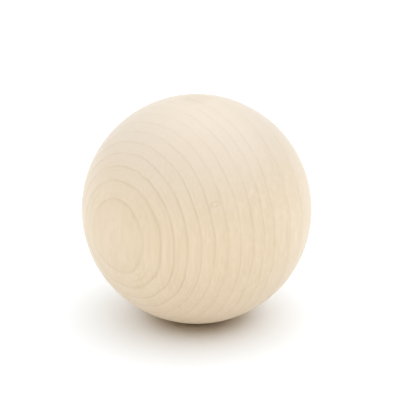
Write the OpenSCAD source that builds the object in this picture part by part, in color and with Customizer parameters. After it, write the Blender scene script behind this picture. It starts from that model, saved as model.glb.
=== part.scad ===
// Turned wooden ball, cut from one blank of pale close-grained wood.
// Sizes are in millimetres. The origin is the ball's centre, and +Z runs up along the grain.

/* [Ball] */
// Diameter of the finished ball
ball_diameter = 63.5; // [10:0.5:120]

/* [Hidden] */

// Bare sanded wood
wood_colour = [0.91, 0.84, 0.73];

// Sides of the drawn circle
curve_sides = 128;

// One solid sphere, with no flat, bore or finish line
module ball() {
    color(wood_colour)
        sphere(d = ball_diameter, $fn = curve_sides);
}

ball();
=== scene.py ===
import math

import bpy
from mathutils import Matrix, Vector


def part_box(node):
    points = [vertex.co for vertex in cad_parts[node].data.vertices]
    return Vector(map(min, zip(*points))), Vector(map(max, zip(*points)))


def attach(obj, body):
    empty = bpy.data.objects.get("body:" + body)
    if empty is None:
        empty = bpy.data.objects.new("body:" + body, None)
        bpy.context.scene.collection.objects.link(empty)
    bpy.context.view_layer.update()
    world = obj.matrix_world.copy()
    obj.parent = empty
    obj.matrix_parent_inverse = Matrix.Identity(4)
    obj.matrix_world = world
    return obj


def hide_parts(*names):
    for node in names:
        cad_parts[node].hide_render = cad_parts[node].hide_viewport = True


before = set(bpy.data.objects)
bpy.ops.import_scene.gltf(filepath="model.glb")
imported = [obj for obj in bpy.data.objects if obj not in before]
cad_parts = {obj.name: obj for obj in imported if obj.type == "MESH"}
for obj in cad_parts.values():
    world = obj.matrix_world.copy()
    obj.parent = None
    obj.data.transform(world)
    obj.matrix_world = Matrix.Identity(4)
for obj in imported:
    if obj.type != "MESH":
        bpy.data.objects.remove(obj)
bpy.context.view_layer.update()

# The ball's size comes from the frame. Sizes in the grain are in millimetres.
MM = 0.001
ball_low, ball_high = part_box("ball")
BALL_RADIUS = (ball_high.z - ball_low.z) / 2
RADIUS_MM = BALL_RADIUS / MM

# The mesh of the ball. Sanding takes a hair more off the soft early wood.
BALL_SUBDIVISIONS = 7
RING_RELIEF = 0.01

# Growth rings. The pith lay to the front left, and the grain runs straight up.
PITH_HEADING = math.radians(-133.6)  # where the pith lay, seen from above, from +X
PITH_DISTANCE = 380.0
RING_LEAN = 0.02  # how far the rings lean away from the pith for each millimetre of height
EVEN_RING = 3.418
EVEN_FROM = 7.0  # from the ball's centre towards the pith, where the rings start to narrow
RING_NARROWING = 1.47e-4  # rings a cubic millimetre, from there towards the pith
WIDE_RING = 6.2  # the last years, when the tree grew fast
WIDE_FROM = 4.9  # from where the rings start to narrow, away from the pith
FIRST_RING = 0.59  # share of a ring at the place where the rings start to narrow
RING_WOBBLE = 0.55
WOBBLE_CELL = (10.0, 10.0, 20.0)
WOBBLE_SEED = 44.91

# A cell is the size of a mark: towards the pith, round the rings and up the grain.
LINE_WAVER_CELL = (2.5, 2.5, 9.0)
LINE_PATCH_CELL = (6.0, 6.0, 14.0)
BAND_PATCH_CELL = (5.0, 5.0, 12.0)
BAND_PATCH_SEED = 7.0
BANDS_A_YEAR = 5.0
STREAK_CELL = (0.9, 0.9, 16.0)
HAIR_CELL = (0.3, 0.3, 7.0)
RAY_CELL = (1.6, 1.2, 2.2)
PORE_CELL = (0.35, 0.35, 3.0)
DRIFT_CELL = (18.0, 18.0, 40.0)
PATCH_CELL = (5.0, 5.0, 11.0)
PATCH_SEED = 5.0

# Where in the year's wood its parts rise, from 0 at the start of the ring to 1 at its end
LATE_WOOD_RISE = (0.2, 1.0)
LINE_RISE = (0.8, 1.0)
LINE_SOFT_EDGE = (0.05, 0.0)  # in the first wood of the next year

# What changes from year to year: two ring numbers, then the value at the first and at the second
LINE_WAVER = (0.8, 3.0, 0.12, 0.048)  # shares of a ring by which a line strays from side to side
LINE_STRENGTH = (-3.5, -1.0, 0.65, 0.45)
FIRST_YEARS_FADE = (-8.5, -5.5, 0.6, 1.0)
LAST_YEARS_FADE = (0.8, 3.0, 1.0, 0.5)
STRENGTH_BY_CHANCE = 0.4  # the most that one year's line is stronger than another's

# Places on the ball as shares of its radius, and the value at each where it isn't 0 and 1
LINES_FADE_AT_ENDS = (0.45, 0.95, 1.0, 0.6)  # up and down the grain from the middle
RAYS_SHOW = (0.55, 0.95)  # round the rings
END_SHOWS = (0.985, 0.9995)  # up and down the grain
# Painted light and shade: where the greyer, bluer, darker colour towards the top comes in and is full
PAINTED_TOP_TINT_SHOWS = (-0.1, 0.95)  # up the grain

# Levels of the noise between which a mark comes up, and its weakest and strongest where given
LINE_PATCH_LEVELS = (0.33, 0.6, 0.3, 1.0)
BAND_LEVELS = (0.5, 0.75)
BAND_PATCH_LEVELS = (0.42, 0.62)
STREAK_LEVELS = (0.35, 0.75)
HAIR_LEVELS = (0.4, 0.7)
FLECK_LEVELS = (0.5, 0.7)
RAY_SHADE_LEVELS = (0.5, 0.3)
PORE_LEVELS = (0.55, 0.7)
DRIFT_LEVELS = (0.3, 0.7)
PATCH_LEVELS = (0.35, 0.65)

# Pin knot: a thin twig that ran out from the pith, with a ring of bark round it
PIN_KNOT_ROUND = 23.3  # its place round the rings
PIN_KNOT_HEIGHT = 12.3
PIN_KNOT_SIZE = 0.65
BARK_INSIDE = (0.3, 1.0)  # shares of the knot's size between which the bark comes up, and fades again
BARK_OUTSIDE = (1.0, 1.6, 1.0, 0.0)

# How much of each mark's colour shows over the wood, at most
DRIFT_SHARE = 0.4
PATCH_SHARE = 0.3
LATE_WOOD_SHARE = 0.4
BAND_SHARE = 0.3
STREAK_SHARE = 0.26
HAIR_SHARE = 0.22
# Painted light and shade towards the top, standing in for the cool light from above
PAINTED_TOP_TINT_SHARE = 0.6
FLECK_SHARE = 0.14
RAY_SHADE_SHARE = 0.14
END_SHARE = 0.32
PORE_SHARE = 0.2
LINE_SHARE = 0.44
BARK_SHARE = 0.2

# The sanded surface
ROUGHNESS = 0.4
HAIR_ROUGHNESS = 0.08  # added on the fibres
END_ROUGHNESS = 0.12  # added on the ends of the grain
HAIR_DEPTH = 0.5  # how far the fibres lie below the wood, as a share of a ring line's height
BUMP_STRENGTH = 0.1
BUMP_HEIGHT = 0.02
SPECULAR_LEVEL = 0.8
SHEEN_WEIGHT = 0.2
SHEEN_ROUGHNESS = 0.5


def srgb(red, green, blue):
    """A colour of 0 to 255 as it looks on a screen, in the light that the shaders count in."""
    linear = [
        part / 12.92 if part <= 0.04045 else ((part + 0.055) / 1.055) ** 2.4
        for part in (red / 255, green / 255, blue / 255)
    ]
    return (*linear, 1.0)


EARLY_WOOD = srgb(227, 206, 178)
LATE_WOOD = srgb(220, 197, 164)
PAINTED_TOP_TINT = srgb(212, 198, 183)  # painted light and shade: greyer, bluer and darker towards the top, standing in for the cool light from above
RING_LINE = srgb(188, 161, 115)
FIBRE = srgb(207, 182, 140)
RAY_FLECK = srgb(235, 220, 194)
RAY_SHADE = srgb(209, 188, 154)
CUT_END = srgb(203, 186, 162)

# Camera: a long lens, 21 degrees above the table, 12.2 radii from the ball's centre
CAMERA_ELEVATION = math.radians(21)
CAMERA_DISTANCE = 12.2 * BALL_RADIUS
TO_CAMERA = Vector((0, -math.cos(CAMERA_ELEVATION), math.sin(CAMERA_ELEVATION)))
CAMERA_LENS = 126.0
CAMERA_SENSOR = 36.0
FRAME_PIXELS = 400
BALL_RIGHT_OF_MIDDLE = -3.3  # pixels in the picture
BALL_ABOVE_MIDDLE = -8.7

# Light: a broad softbox overhead, in a white tent with a glowing belt, warm below and cool above
SOFTBOX_SHARE = 0.265
SOFTBOX_COLOUR = (0.97, 1.0, 1.12)
SOFTBOX_WIDTH = math.radians(75)
SOFTBOX_TILT = math.radians(12)  # to the right of straight up
TENT_GLOW = 2.5
GLOW_STARTS = (0.17, 0.74)  # heights between which the tent lights up, as sines of the angle
GLOW_ENDS = (0.7, 0.92)
GLOW_COOLS = (0.25, 0.8)
LOW_GLOW = (1.33, 1.0, 0.58, 1.0)
HIGH_GLOW = (0.84, 1.01, 1.17, 1.0)
PLAIN_WHITE = (1.0, 1.0, 1.0, 1.0)
FLOOR_HALF_WIDTH = 3.0  # metres
PAINTED_CONTACT_SHADE = (0.5, 0.4, 0.26, 1.0)  # painted shade: a darker, brown floor for light past its first bounce, which darkens and browns the shadow under the ball


def feed(tree, value, socket):
    """Gives a node's input a plain value, or links another node's output to it."""
    if isinstance(value, bpy.types.NodeSocket):
        tree.links.new(value, socket)
    else:
        socket.default_value = value


def add(tree, kind, inputs=None, **options):
    """A new node with its options set and its inputs fed by name."""
    made = tree.nodes.new(kind)
    for name, value in options.items():
        setattr(made, name, value)
    for name, value in (inputs or {}).items():
        feed(tree, value, made.inputs[name])
    return made


def calc(tree, operation, *values):
    """One sum on numbers."""
    made = add(tree, "ShaderNodeMath", operation=operation)
    for value, socket in zip(values, made.inputs):
        feed(tree, value, socket)
    return made.outputs[0]


def ramp(tree, value, start, end, low=0.0, high=1.0):
    """A smooth climb from low at start to high at end."""
    spread = {"Value": value, "From Min": start, "From Max": end, "To Min": low, "To Max": high}
    return add(tree, "ShaderNodeMapRange", spread, interpolation_type="SMOOTHSTEP").outputs[0]


def scaled(tree, place, times):
    """A place or a direction, made longer or shorter."""
    made = add(tree, "ShaderNodeVectorMath", operation="SCALE")
    feed(tree, place, made.inputs[0])
    feed(tree, times, made.inputs["Scale"])
    return made.outputs[0]


def sides(tree, place):
    """The X, Y and Z of a place, by name."""
    return add(tree, "ShaderNodeSeparateXYZ", {"Vector": place}).outputs


def noise(tree, place, cell, detail=2.0, seed=0.0):
    """Smooth noise about 0.5, in cells of the given size in millimetres."""
    cells = add(tree, "ShaderNodeVectorMath", operation="MULTIPLY")
    feed(tree, place, cells.inputs[0])
    feed(tree, [1 / side for side in cell], cells.inputs[1])
    settings = {"Vector": cells.outputs[0], "W": seed, "Scale": 1.0, "Detail": detail}
    return add(tree, "ShaderNodeTexNoise", settings, noise_dimensions="4D").outputs[0]


def mix(tree, share, first, second):
    """The first colour, turning into the second as share goes from 0 to 1."""
    made = add(tree, "ShaderNodeMix", data_type="RGBA")
    feed(tree, share, made.inputs[0])
    feed(tree, first, made.inputs[6])
    feed(tree, second, made.inputs[7])
    return made.outputs[2]


def in_the_log(tree, place):
    """A place in millimetres along the log: X towards the pith, Y round the rings, Z up the grain."""
    turn = {"Vector": scaled(tree, place, 1 / MM), "Angle": -PITH_HEADING}
    return add(tree, "ShaderNodeVectorRotate", turn, rotation_type="Z_AXIS").outputs[0]


def ring_count(tree, log_place):
    """The number of the ring at a place in the log, counted away from the pith."""
    side = sides(tree, log_place)
    to_pith = calc(tree, "SUBTRACT", PITH_DISTANCE, side["X"])
    round_squared = calc(tree, "POWER", side["Y"], 2.0)
    from_pith = calc(tree, "SQRT", calc(tree, "MULTIPLY_ADD", to_pith, to_pith, round_squared))
    wander = noise(tree, log_place, WOBBLE_CELL, detail=1.0, seed=WOBBLE_SEED)
    wander = calc(tree, "MULTIPLY_ADD", wander, 2 * RING_WOBBLE, -RING_WOBBLE)
    leaning = calc(tree, "MULTIPLY_ADD", side["Z"], -RING_LEAN, wander)
    outward = calc(tree, "ADD", calc(tree, "SUBTRACT", from_pith, PITH_DISTANCE - EVEN_FROM), leaning)
    even = calc(tree, "MULTIPLY_ADD", outward, 1 / EVEN_RING, FIRST_RING)
    cubed = calc(tree, "POWER", calc(tree, "MINIMUM", outward, 0.0), 3.0)
    narrowed = calc(tree, "MULTIPLY_ADD", cubed, RING_NARROWING, even)
    past = calc(tree, "MAXIMUM", calc(tree, "SUBTRACT", outward, WIDE_FROM), 0.0)
    return calc(tree, "MULTIPLY_ADD", past, 1 / WIDE_RING - 1 / EVEN_RING, narrowed)


def new_group(name, inputs, outputs):
    """An empty shader group. Returns it with its input sockets by name and its output node's."""
    group = bpy.data.node_groups.new(name, "ShaderNodeTree")
    for label, kind in inputs.items():
        group.interface.new_socket(label, in_out="INPUT", socket_type=kind)
    for label in outputs:
        group.interface.new_socket(label, in_out="OUTPUT", socket_type="NodeSocketFloat")
    return group, group.nodes.new("NodeGroupInput").outputs, group.nodes.new("NodeGroupOutput").inputs


def growth_rings():
    """Shader group: each year's slow darkening, faint bands in it, and the line that ends the year."""
    sizes = {"Log Place": "NodeSocketVector", "Ball Radius": "NodeSocketFloat"}
    group, given, result = new_group("Growth Rings", sizes, ["Late Wood", "Ring Line", "Band"])
    place = given["Log Place"]
    waver = calc(group, "MULTIPLY_ADD", noise(group, place, LINE_WAVER_CELL, detail=3.0), 2.0, -1.0)
    count = ring_count(group, place)
    count = calc(group, "MULTIPLY_ADD", waver, ramp(group, count, *LINE_WAVER), count)
    season = calc(group, "FRACT", count)
    soft_edge = ramp(group, season, *LINE_SOFT_EDGE)
    late = calc(group, "MAXIMUM", ramp(group, season, *LATE_WOOD_RISE), soft_edge)
    line = calc(group, "MAXIMUM", ramp(group, season, *LINE_RISE), soft_edge)
    year = calc(group, "ROUND", count)
    chance = add(group, "ShaderNodeTexWhiteNoise", {"W": year}, noise_dimensions="1D").outputs["Value"]
    strength = ramp(group, count, *LINE_STRENGTH)
    strength = calc(group, "MULTIPLY_ADD", chance, STRENGTH_BY_CHANCE, strength)
    height = calc(group, "DIVIDE", calc(group, "ABSOLUTE", sides(group, place)["Z"]), given["Ball Radius"])
    fading = [
        ramp(group, count, *FIRST_YEARS_FADE),
        ramp(group, count, *LAST_YEARS_FADE),
        ramp(group, height, *LINES_FADE_AT_ENDS),
        ramp(group, noise(group, place, LINE_PATCH_CELL), *LINE_PATCH_LEVELS),
    ]
    for fade in fading:
        strength = calc(group, "MULTIPLY", strength, fade)
    spells = {"W": calc(group, "MULTIPLY", count, BANDS_A_YEAR), "Scale": 1.0, "Detail": 1.0}
    bands = add(group, "ShaderNodeTexNoise", spells, noise_dimensions="1D").outputs[0]
    broken = ramp(group, noise(group, place, BAND_PATCH_CELL, seed=BAND_PATCH_SEED), *BAND_PATCH_LEVELS)
    feed(group, late, result["Late Wood"])
    feed(group, calc(group, "MULTIPLY", ramp(group, bands, *BAND_LEVELS), broken), result["Band"])
    feed(group, calc(group, "MULTIPLY", line, strength), result["Ring Line"])
    return group


def fibre_streaks():
    """Shader group: fibres along the grain, which show as dots where the grain is cut across."""
    sizes = {"Log Place": "NodeSocketVector"}
    group, given, result = new_group("Fibre Streaks", sizes, ["Streak", "Hair"])
    broad = noise(group, given["Log Place"], STREAK_CELL)
    fine = noise(group, given["Log Place"], HAIR_CELL)
    feed(group, ramp(group, broad, *STREAK_LEVELS), result["Streak"])
    feed(group, ramp(group, fine, *HAIR_LEVELS), result["Hair"])
    return group


def ray_flecks():
    """Shader group: rays, thin ribbons out from the pith, which flash where the surface lies along them."""
    sizes = {"Log Place": "NodeSocketVector", "Ball Radius": "NodeSocketFloat"}
    group, given, result = new_group("Ray Flecks", sizes, ["Fleck", "Shade"])
    place = given["Log Place"]
    ribbons = noise(group, place, RAY_CELL, detail=1.0)
    round_the_rings = calc(group, "ABSOLUTE", sides(group, place)["Y"])
    along = ramp(group, calc(group, "DIVIDE", round_the_rings, given["Ball Radius"]), *RAYS_SHOW)
    feed(group, calc(group, "MULTIPLY", ramp(group, ribbons, *FLECK_LEVELS), along), result["Fleck"])
    feed(group, calc(group, "MULTIPLY", ramp(group, ribbons, *RAY_SHADE_LEVELS), along), result["Shade"])
    return group


def cut_end():
    """Shader group: the two ends of the grain, where the open pores take the light."""
    sizes = {"Log Place": "NodeSocketVector", "Ball Radius": "NodeSocketFloat"}
    group, given, result = new_group("Cut End", sizes, ["End", "Pore"])
    place = given["Log Place"]
    height = calc(group, "ABSOLUTE", sides(group, place)["Z"])
    end = ramp(group, calc(group, "DIVIDE", height, given["Ball Radius"]), *END_SHOWS)
    pores = noise(group, place, PORE_CELL, detail=1.0)
    feed(group, end, result["End"])
    feed(group, calc(group, "MULTIPLY", ramp(group, pores, *PORE_LEVELS), end), result["Pore"])
    return group


def pin_knot():
    """Shader group: the dark bark round a thin twig, which runs through the ball away from the pith."""
    sizes = {"Log Place": "NodeSocketVector", "Knot Size": "NodeSocketFloat"}
    group, given, result = new_group("Pin Knot", sizes, ["Bark"])
    side = sides(group, given["Log Place"])
    across = calc(group, "SUBTRACT", side["Y"], PIN_KNOT_ROUND)
    upward = calc(group, "SUBTRACT", side["Z"], PIN_KNOT_HEIGHT)
    squares = calc(group, "MULTIPLY_ADD", across, across, calc(group, "MULTIPLY", upward, upward))
    from_middle = calc(group, "DIVIDE", calc(group, "SQRT", squares), given["Knot Size"])
    inside = ramp(group, from_middle, *BARK_INSIDE)
    outside = ramp(group, from_middle, *BARK_OUTSIDE)
    feed(group, calc(group, "MULTIPLY", inside, outside), result["Bark"])
    return group


def bare_wood():
    """The material of the ball: pale sanded wood with no stain or varnish."""
    material = bpy.data.materials.new("sanded_wood")
    material.use_nodes = True
    tree = material.node_tree
    shader = tree.nodes["Principled BSDF"]
    log_place = in_the_log(tree, add(tree, "ShaderNodeTexCoord").outputs["Object"])

    def effect(group):
        """One of the groups, with its sizes set."""
        made = add(tree, "ShaderNodeGroup", node_tree=group)
        feed(tree, log_place, made.inputs["Log Place"])
        for name, size in {"Ball Radius": RADIUS_MM, "Knot Size": PIN_KNOT_SIZE}.items():
            if name in made.inputs:
                made.inputs[name].default_value = size
        return made.outputs

    rings = effect(growth_rings())
    fibres = effect(fibre_streaks())
    rays = effect(ray_flecks())
    ends = effect(cut_end())
    knot = effect(pin_knot())
    # Painted light and shade: greyer, bluer and darker towards the top, standing in for the cool light from
    # above
    tint_from, tint_to = PAINTED_TOP_TINT_SHOWS
    painted_top_tint = ramp(tree, sides(tree, log_place)["Z"], tint_from * RADIUS_MM, tint_to * RADIUS_MM)
    drift = ramp(tree, noise(tree, log_place, DRIFT_CELL), *DRIFT_LEVELS)
    patch = ramp(tree, noise(tree, log_place, PATCH_CELL, seed=PATCH_SEED), *PATCH_LEVELS)

    # Each mark lies over the ones before it.
    marks = [
        (drift, DRIFT_SHARE, LATE_WOOD),
        (patch, PATCH_SHARE, LATE_WOOD),
        (rings["Late Wood"], LATE_WOOD_SHARE, LATE_WOOD),
        (rings["Band"], BAND_SHARE, FIBRE),
        (fibres["Streak"], STREAK_SHARE, FIBRE),
        (fibres["Hair"], HAIR_SHARE, FIBRE),
        # painted light and shade towards the top
        (painted_top_tint, PAINTED_TOP_TINT_SHARE, PAINTED_TOP_TINT),
        (rays["Fleck"], FLECK_SHARE, RAY_FLECK),
        (rays["Shade"], RAY_SHADE_SHARE, RAY_SHADE),
        (ends["End"], END_SHARE, CUT_END),
        (ends["Pore"], PORE_SHARE, RING_LINE),
        (rings["Ring Line"], LINE_SHARE, RING_LINE),
        (knot["Bark"], BARK_SHARE, RING_LINE),
    ]
    colour = EARLY_WOOD
    for mask, share, mark_colour in marks:
        colour = mix(tree, calc(tree, "MULTIPLY", mask, share), colour, mark_colour)
    feed(tree, colour, shader.inputs["Base Color"])

    rough = calc(tree, "MULTIPLY_ADD", fibres["Hair"], HAIR_ROUGHNESS, ROUGHNESS)
    rough = calc(tree, "MULTIPLY_ADD", ends["End"], END_ROUGHNESS, rough)
    feed(tree, rough, shader.inputs["Roughness"])

    relief = calc(tree, "MULTIPLY_ADD", fibres["Hair"], -HAIR_DEPTH, rings["Ring Line"])
    settings = {"Height": relief, "Strength": BUMP_STRENGTH, "Distance": BUMP_HEIGHT * MM}
    feed(tree, add(tree, "ShaderNodeBump", settings).outputs[0], shader.inputs["Normal"])
    shader.inputs["Specular IOR Level"].default_value = SPECULAR_LEVEL
    shader.inputs["Sheen Weight"].default_value = SHEEN_WEIGHT
    shader.inputs["Sheen Roughness"].default_value = SHEEN_ROUGHNESS
    return material


def ball_tree():
    """Geometry nodes for the ball: a fine sphere whose early wood lies a hair lower than its lines."""
    tree = bpy.data.node_groups.new("Turned Ball", "GeometryNodeTree")
    kinds = {
        "Radius": "NodeSocketFloat",
        "Subdivisions": "NodeSocketInt",
        "Ring Relief": "NodeSocketFloat",
        "Wood": "NodeSocketMaterial",
    }
    labels = {
        name: tree.interface.new_socket(name, in_out="INPUT", socket_type=kind).identifier
        for name, kind in kinds.items()
    }
    tree.interface.new_socket("Ball", in_out="OUTPUT", socket_type="NodeSocketGeometry")
    given = tree.nodes.new("NodeGroupInput").outputs
    result = tree.nodes.new("NodeGroupOutput").inputs

    round_size = {"Radius": given["Radius"], "Subdivisions": given["Subdivisions"]}
    sphere = add(tree, "GeometryNodeMeshIcoSphere", round_size)
    count = ring_count(tree, in_the_log(tree, add(tree, "GeometryNodeInputPosition").outputs[0]))
    wave = calc(tree, "COSINE", calc(tree, "MULTIPLY", count, 2 * math.pi))
    sanded = calc(tree, "MULTIPLY", calc(tree, "MULTIPLY_ADD", wave, 0.5, -0.5), given["Ring Relief"])
    inward = scaled(tree, add(tree, "GeometryNodeInputNormal").outputs[0], sanded)
    moving = {"Geometry": sphere.outputs["Mesh"], "Offset": inward}
    moved = add(tree, "GeometryNodeSetPosition", moving)
    smooth = add(tree, "GeometryNodeSetShadeSmooth", {"Geometry": moved.outputs[0]})
    real = add(tree, "GeometryNodeRealizeInstances", {"Geometry": smooth.outputs[0]})
    dressing = {"Geometry": real.outputs[0], "Material": given["Wood"]}
    dressed = add(tree, "GeometryNodeSetMaterial", dressing)
    feed(tree, dressed.outputs[0], result["Ball"])
    return tree, labels


def turned_ball(wood):
    """The ball as a plain mesh."""
    tree, labels = ball_tree()
    ball = bpy.data.objects.new("turned_ball", bpy.data.meshes.new("turned_ball"))
    bpy.context.scene.collection.objects.link(ball)
    turning = ball.modifiers.new("Turned Ball", "NODES")
    turning.node_group = tree
    turning[labels["Radius"]] = BALL_RADIUS
    turning[labels["Subdivisions"]] = BALL_SUBDIVISIONS
    turning[labels["Ring Relief"]] = RING_RELIEF * MM
    turning[labels["Wood"]] = wood
    graph = bpy.context.evaluated_depsgraph_get()
    mesh = bpy.data.meshes.new_from_object(ball.evaluated_get(graph), depsgraph=graph)
    mesh.materials.clear()
    mesh.materials.append(wood)
    ball.modifiers.clear()
    ball.data = mesh
    return ball


def seen_directly(tree):
    """1 for what the camera sees, straight or in a reflection, and 0 for light on its way to a surface."""
    path = add(tree, "ShaderNodeLightPath").outputs
    mirrored = calc(tree, "MAXIMUM", path["Is Glossy Ray"], path["Is Transmission Ray"])
    return calc(tree, "MAXIMUM", path["Is Camera Ray"], mirrored)


def white_floor():
    """A table under the ball, white to the camera and to the first bounce of light, with painted shade: it
    turns darker and brown for later bounces, which darkens and browns the shadow below the ball.
    """
    half = FLOOR_HALF_WIDTH
    corners = [(-half, -half), (half, -half), (half, half), (-half, half)]
    mesh = bpy.data.meshes.new("floor")
    mesh.from_pydata([(x, y, ball_low.z) for x, y in corners], [], [(0, 1, 2, 3)])
    floor = bpy.data.objects.new("floor", mesh)
    bpy.context.scene.collection.objects.link(floor)
    material = bpy.data.materials.new("white_table")
    material.use_nodes = True
    tree = material.node_tree
    tree.nodes.clear()
    # Painted shade: after the first bounce the floor turns darker and brown, deepening the shadow under the
    # ball
    bounces = add(tree, "ShaderNodeLightPath").outputs["Diffuse Depth"]
    colour = mix(tree, ramp(tree, bounces, 1.0, 2.0), PLAIN_WHITE, PAINTED_CONTACT_SHADE)
    dull = add(tree, "ShaderNodeBsdfDiffuse", {"Color": colour})
    add(tree, "ShaderNodeOutputMaterial", {"Surface": dull.outputs[0]})
    mesh.materials.append(material)
    return floor


def studio_light():
    """A broad softbox overhead, in a white tent."""
    lamp = bpy.data.lights.new("softbox", "SUN")
    lamp.energy = SOFTBOX_SHARE * math.pi
    lamp.color = SOFTBOX_COLOUR
    lamp.angle = SOFTBOX_WIDTH
    softbox = bpy.data.objects.new("softbox", lamp)
    softbox.rotation_euler.y = SOFTBOX_TILT
    bpy.context.scene.collection.objects.link(softbox)
    world = bpy.data.worlds.new("white_tent")
    world.use_nodes = True
    tree = world.node_tree
    height = sides(tree, add(tree, "ShaderNodeTexCoord").outputs["Generated"])["Z"]
    glow = ramp(tree, height, *GLOW_STARTS, 0.0, TENT_GLOW)
    glow = calc(tree, "MULTIPLY", glow, ramp(tree, height, *GLOW_ENDS, 1.0, 0.0))
    tint = mix(tree, ramp(tree, height, *GLOW_COOLS), LOW_GLOW, HIGH_GLOW)
    seen = seen_directly(tree)
    strength = add(tree, "ShaderNodeMix", {"Factor": seen, "A": glow, "B": 1.0}).outputs[0]
    background = tree.nodes["Background"]
    feed(tree, mix(tree, seen, tint, PLAIN_WHITE), background.inputs["Color"])
    feed(tree, strength, background.inputs["Strength"])
    bpy.context.scene.world = world


def camera():
    """A long lens that looks down at the ball, with the ball a little off the picture's middle."""
    lens = bpy.data.cameras.new("camera")
    lens.lens = CAMERA_LENS
    lens.sensor_width = CAMERA_SENSOR
    eye = bpy.data.objects.new("camera", lens)
    bpy.context.scene.collection.objects.link(eye)
    eye.location = TO_CAMERA * CAMERA_DISTANCE
    pixel = CAMERA_DISTANCE * CAMERA_SENSOR / CAMERA_LENS / FRAME_PIXELS
    right = Vector((1, 0, 0))
    up = TO_CAMERA.cross(right)
    aim = -(right * BALL_RIGHT_OF_MIDDLE + up * BALL_ABOVE_MIDDLE) * pixel
    eye.rotation_euler = (aim - eye.location).to_track_quat("-Z", "Y").to_euler()
    bpy.context.scene.camera = eye


bpy.context.scene.view_settings.view_transform = "Standard"
camera()
studio_light()
white_floor()

ball = turned_ball(bare_wood())
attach(ball, "root")
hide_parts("ball")
